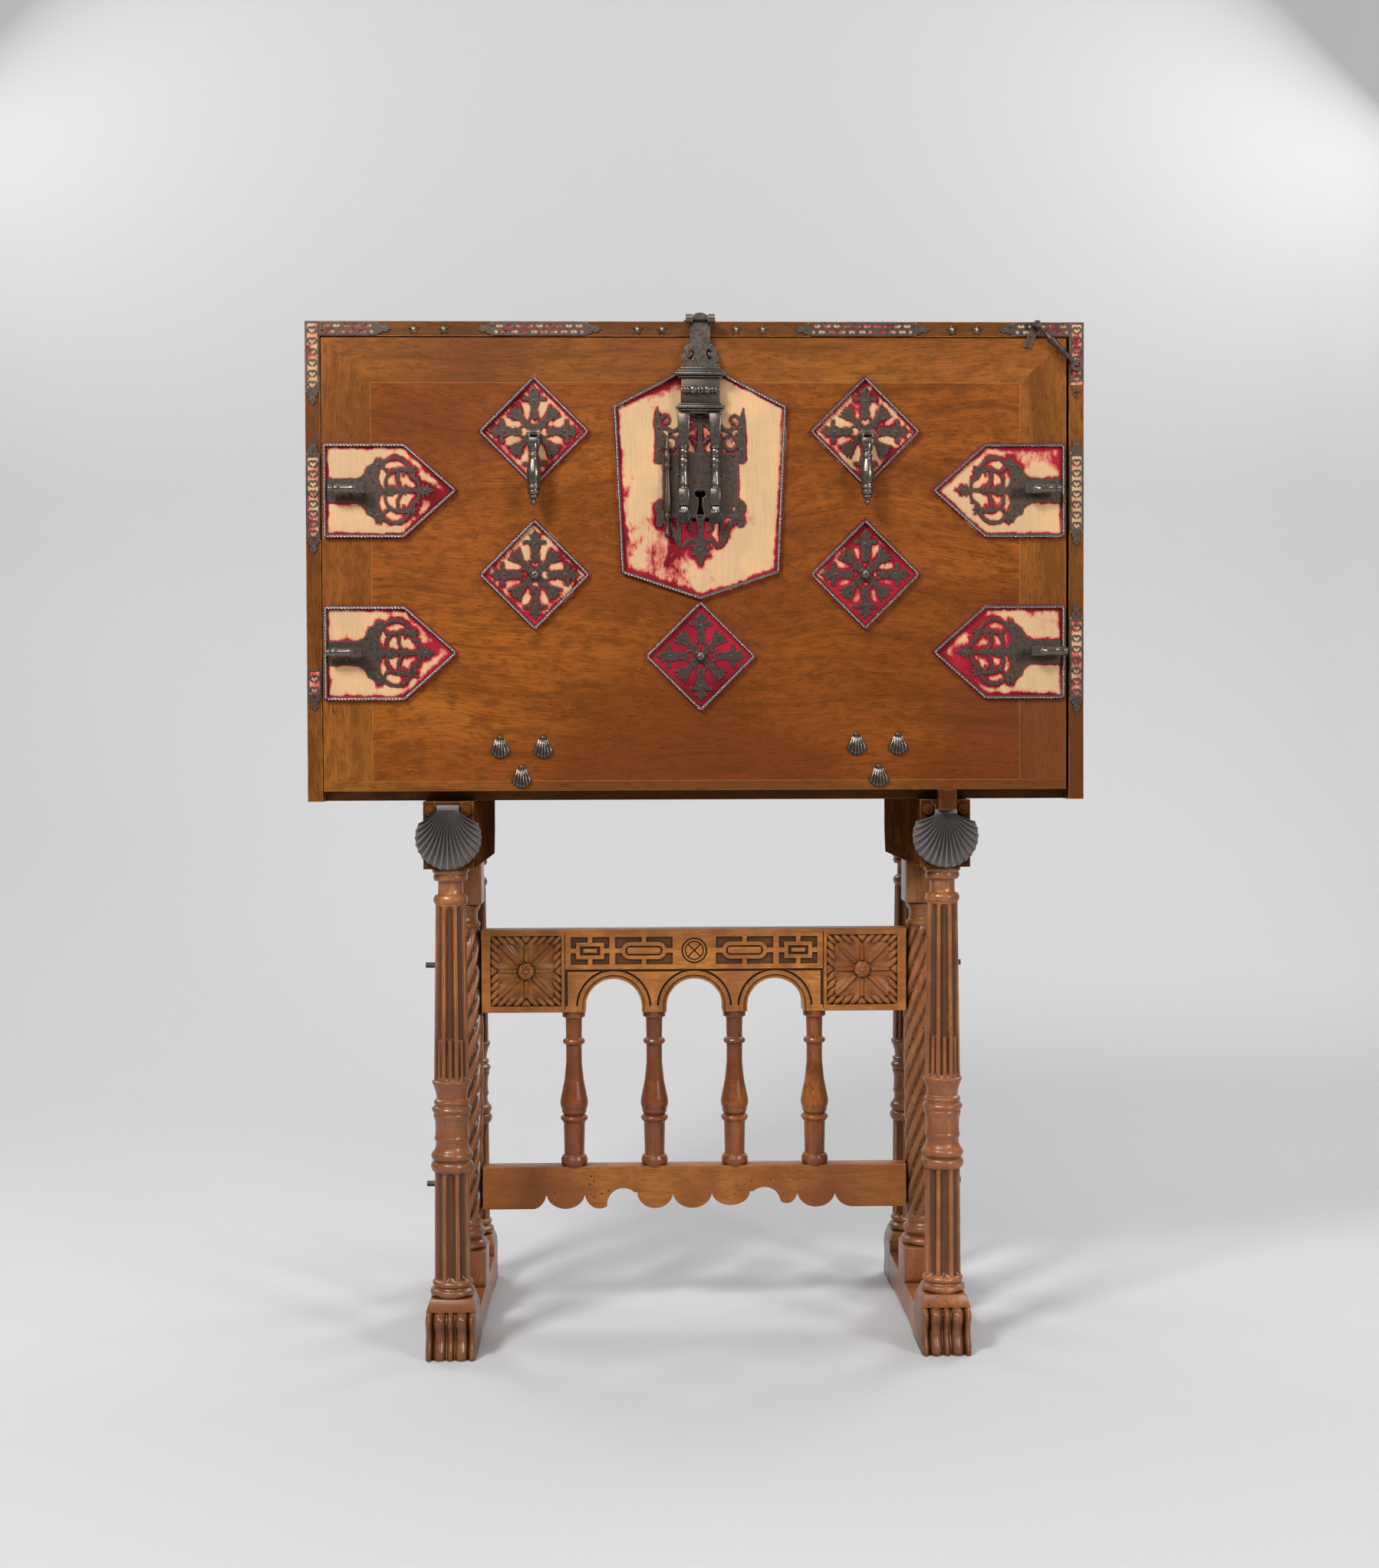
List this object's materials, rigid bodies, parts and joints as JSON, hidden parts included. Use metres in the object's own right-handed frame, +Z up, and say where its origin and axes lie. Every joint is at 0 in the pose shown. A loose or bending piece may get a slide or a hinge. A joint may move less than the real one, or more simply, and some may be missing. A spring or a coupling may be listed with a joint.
{
  "type": "vargueno",
  "caption": "Spanish fall-front writing chest with iron-mounted fall and inner drawers on an arcaded trestle stand with pull-out supports.",
  "frame": {"origin": "on the floor, in the middle of the object's bounding box", "axes": "+Z up, the fall faces -Y, +X to the right of someone facing it"},
  "size_m": [1.092, 0.4644, 1.406],
  "materials": {
    "walnut_stand": "worn waxed walnut, red brown",
    "walnut_posts": "dark red walnut, carved",
    "walnut_rails": "golden walnut, carved and worn",
    "walnut_case": "waxed walnut",
    "walnut_fall": "waxed walnut, figured, horizontal grain",
    "walnut_bands": "waxed walnut, redder",
    "carcass_wood": "dry walnut",
    "drawer_wood": "waxed walnut",
    "shell_paint": "worn black paint on carved wood",
    "wrought_iron": "dark wrought iron, polished on its high places",
    "rope_iron": "twisted iron, rubbed bright",
    "velvet": "crimson velvet, worn to its cream ground",
    "edge_cloth": "crimson velvet, worn",
    "brass": "dull brass"
  },
  "bodies": {
    "root": {"runner_left": "walnut_stand", "runner_right": "walnut_stand", "beam_left": "walnut_stand", "beam_right": "walnut_stand", "column_front_left": "walnut_stand", "column_front_right": "walnut_stand", "column_back_left": "walnut_stand", "column_back_right": "walnut_stand", "post_left": "walnut_posts", "post_right": "walnut_posts", "arcade_rail": "walnut_rails", "spindles": "walnut_rails", "apron_rail": "walnut_rails", "tie_bolts": "wrought_iron", "case_top": "walnut_case", "case_bottom": "walnut_case", "case_side_left": "walnut_case", "case_side_right": "walnut_case", "case_back": "walnut_case", "carcass_floor": "carcass_wood", "carcass_boards": "carcass_wood", "carcass_hinge_leaves": "wrought_iron", "hasp_hinge": "wrought_iron", "edge_velvet": "edge_cloth", "edge_mounts": "wrought_iron", "star_studs": "brass", "handle_eyes": "wrought_iron"},
    "fall": {"fall_panel": "walnut_fall", "fall_banding": "walnut_bands", "fall_hinge_leaves": "wrought_iron", "velvet_pads": "velvet", "rope_borders": "rope_iron", "rosettes": "wrought_iron", "lock_plate": "wrought_iron", "bolt_plates": "wrought_iron", "fall_staples": "wrought_iron", "shell_studs": "wrought_iron"},
    "hasp": {"hasp": "wrought_iron"},
    "corner_hook": {"corner_hook": "wrought_iron"},
    "loper_left": {"loper_left": "carcass_wood", "shell_head_left": "shell_paint"},
    "loper_right": {"loper_right": "carcass_wood", "shell_head_right": "shell_paint", "fall_rest": "carcass_wood"},
    "pull_left": {"pull_left": "wrought_iron"},
    "pull_right": {"pull_right": "wrought_iron"},
    "handle_left": {"handle_left": "wrought_iron"},
    "handle_right": {"handle_right": "wrought_iron"},
    "bolt_upper_left": {"bolt_upper_left": "wrought_iron"},
    "bolt_lower_left": {"bolt_lower_left": "wrought_iron"},
    "bolt_upper_right": {"bolt_upper_right": "wrought_iron"},
    "bolt_lower_right": {"bolt_lower_right": "wrought_iron"},
    "drawer_left_1": {"drawer_left_1": "drawer_wood"},
    "drawer_left_2": {"drawer_left_2": "drawer_wood"},
    "drawer_left_3": {"drawer_left_3": "drawer_wood"},
    "drawer_centre_1": {"drawer_centre_1": "drawer_wood"},
    "drawer_centre_2": {"drawer_centre_2": "drawer_wood"},
    "drawer_right_1": {"drawer_right_1": "drawer_wood"},
    "drawer_right_2": {"drawer_right_2": "drawer_wood"},
    "drawer_right_3": {"drawer_right_3": "drawer_wood"}
  },
  "joints": [
    {"name": "fall_hinge", "type": "hinge", "parent": "root", "child": "fall", "pos_m": [0, -0.17475, 0.792], "axis": [1, 0, 0], "range_deg": [0, 90]},
    {"name": "hasp_hinge", "type": "hinge", "parent": "fall", "child": "hasp", "pos_m": [0.005, -0.21225, 1.401], "axis": [-1, 0, 0], "range_deg": [0, 100]},
    {"name": "corner_hook_swing", "type": "hinge", "parent": "fall", "child": "corner_hook", "pos_m": [0.459, -0.20775, 1.396], "axis": [0, -1, 0], "range_deg": [0, 110]},
    {"name": "bolt_upper_left_slide", "type": "slide", "parent": "fall", "child": "bolt_upper_left", "axis": [-1, 0, 0], "range_m": [0, 0.012]},
    {"name": "bolt_lower_left_slide", "type": "slide", "parent": "fall", "child": "bolt_lower_left", "axis": [-1, 0, 0], "range_m": [0, 0.012]},
    {"name": "bolt_upper_right_slide", "type": "slide", "parent": "fall", "child": "bolt_upper_right", "axis": [1, 0, 0], "range_m": [0, 0.012]},
    {"name": "bolt_lower_right_slide", "type": "slide", "parent": "fall", "child": "bolt_lower_right", "axis": [1, 0, 0], "range_m": [0, 0.012]},
    {"name": "pull_left_swing", "type": "hinge", "parent": "fall", "child": "pull_left", "pos_m": [-0.218, -0.22175, 1.248], "axis": [-1, 0, 0], "range_deg": [0, 85]},
    {"name": "pull_right_swing", "type": "hinge", "parent": "fall", "child": "pull_right", "pos_m": [0.228, -0.22175, 1.248], "axis": [-1, 0, 0], "range_deg": [0, 85]},
    {"name": "loper_left_slide", "type": "slide", "parent": "root", "child": "loper_left", "axis": [0, -1, 0], "range_m": [0, 0.27]},
    {"name": "loper_right_slide", "type": "slide", "parent": "root", "child": "loper_right", "axis": [0, -1, 0], "range_m": [0, 0.27]},
    {"name": "handle_left_swing", "type": "hinge", "parent": "root", "child": "handle_left", "pos_m": [-0.538, 0.01325, 1.074], "axis": [0, 1, 0], "range_deg": [0, 88]},
    {"name": "handle_right_swing", "type": "hinge", "parent": "root", "child": "handle_right", "pos_m": [0.538, 0.01325, 1.074], "axis": [0, -1, 0], "range_deg": [0, 88]},
    {"name": "drawer_left_1_slide", "type": "slide", "parent": "root", "child": "drawer_left_1", "axis": [0, -1, 0], "range_m": [0, 0.1105]},
    {"name": "drawer_left_2_slide", "type": "slide", "parent": "root", "child": "drawer_left_2", "axis": [0, -1, 0], "range_m": [0, 0.299]},
    {"name": "drawer_left_3_slide", "type": "slide", "parent": "root", "child": "drawer_left_3", "axis": [0, -1, 0], "range_m": [0, 0.299]},
    {"name": "drawer_centre_1_slide", "type": "slide", "parent": "root", "child": "drawer_centre_1", "axis": [0, -1, 0], "range_m": [0, 0.1105]},
    {"name": "drawer_centre_2_slide", "type": "slide", "parent": "root", "child": "drawer_centre_2", "axis": [0, -1, 0], "range_m": [0, 0.299]},
    {"name": "drawer_right_1_slide", "type": "slide", "parent": "root", "child": "drawer_right_1", "axis": [0, -1, 0], "range_m": [0, 0.1105]},
    {"name": "drawer_right_2_slide", "type": "slide", "parent": "root", "child": "drawer_right_2", "axis": [0, -1, 0], "range_m": [0, 0.299]},
    {"name": "drawer_right_3_slide", "type": "slide", "parent": "root", "child": "drawer_right_3", "axis": [0, -1, 0], "range_m": [0, 0.299]}
  ],
  "couplings": [
    {"joint": "drawer_left_1_slide", "follows": "fall_hinge", "m_per_rad": 0.07},
    {"joint": "drawer_left_2_slide", "follows": "fall_hinge", "m_per_rad": 0.19},
    {"joint": "drawer_left_3_slide", "follows": "fall_hinge", "m_per_rad": 0.19},
    {"joint": "drawer_centre_1_slide", "follows": "fall_hinge", "m_per_rad": 0.07},
    {"joint": "drawer_centre_2_slide", "follows": "fall_hinge", "m_per_rad": 0.19},
    {"joint": "drawer_right_1_slide", "follows": "fall_hinge", "m_per_rad": 0.07},
    {"joint": "drawer_right_2_slide", "follows": "fall_hinge", "m_per_rad": 0.19},
    {"joint": "drawer_right_3_slide", "follows": "fall_hinge", "m_per_rad": 0.19}
  ]
}
